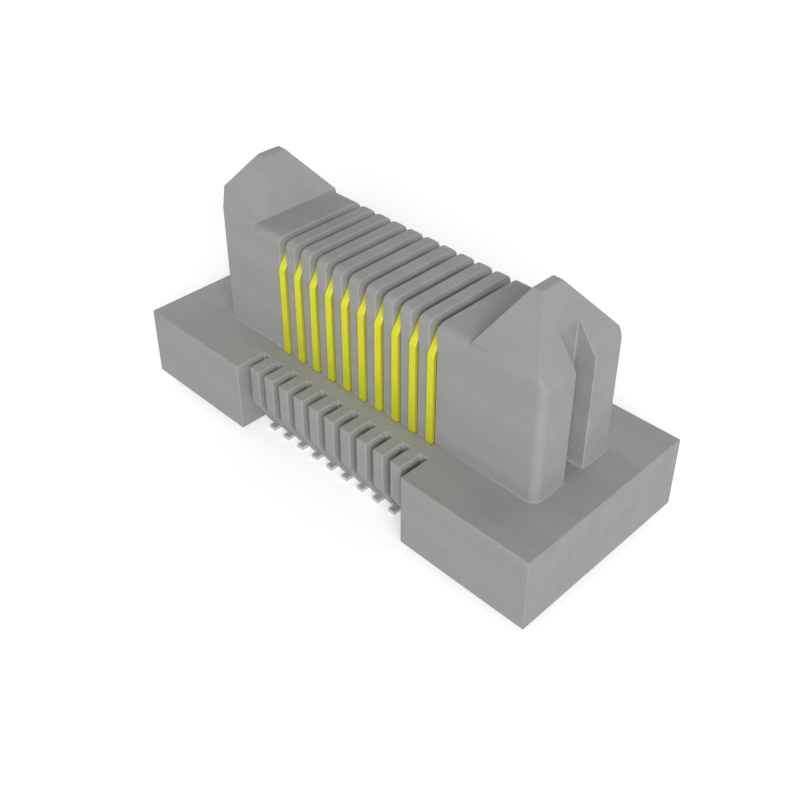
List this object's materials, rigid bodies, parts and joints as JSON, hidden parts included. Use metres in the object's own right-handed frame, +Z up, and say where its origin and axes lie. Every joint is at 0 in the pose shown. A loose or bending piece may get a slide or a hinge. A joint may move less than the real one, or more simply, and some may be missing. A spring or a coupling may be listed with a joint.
{
  "type": "board to board connector",
  "caption": "Surface-mount board-to-board connector plug with a grooved contact tongue, keyed guide posts and a combed base.",
  "frame": {"origin": "on the board, under the middle of the connector, at the soles of the solder feet", "axes": "+Z up, away from the board, +X along the two rows towards the post with the key slot, -Y towards the viewer's row"},
  "size_m": [0.0188, 0.008, 0.0096],
  "materials": {
    "housing": "matte, moulded liquid crystal polymer",
    "contact": "satin gold plating, matte tin on the solder foot"
  },
  "bodies": {
    "root": {"housing": "housing", "contact_front_01": "contact", "contact_front_02": "contact", "contact_front_03": "contact", "contact_front_04": "contact", "contact_front_05": "contact", "contact_front_06": "contact", "contact_front_07": "contact", "contact_front_08": "contact", "contact_front_09": "contact", "contact_front_10": "contact", "contact_rear_01": "contact", "contact_rear_02": "contact", "contact_rear_03": "contact", "contact_rear_04": "contact", "contact_rear_05": "contact", "contact_rear_06": "contact", "contact_rear_07": "contact", "contact_rear_08": "contact", "contact_rear_09": "contact", "contact_rear_10": "contact"}
  },
  "joints": []
}
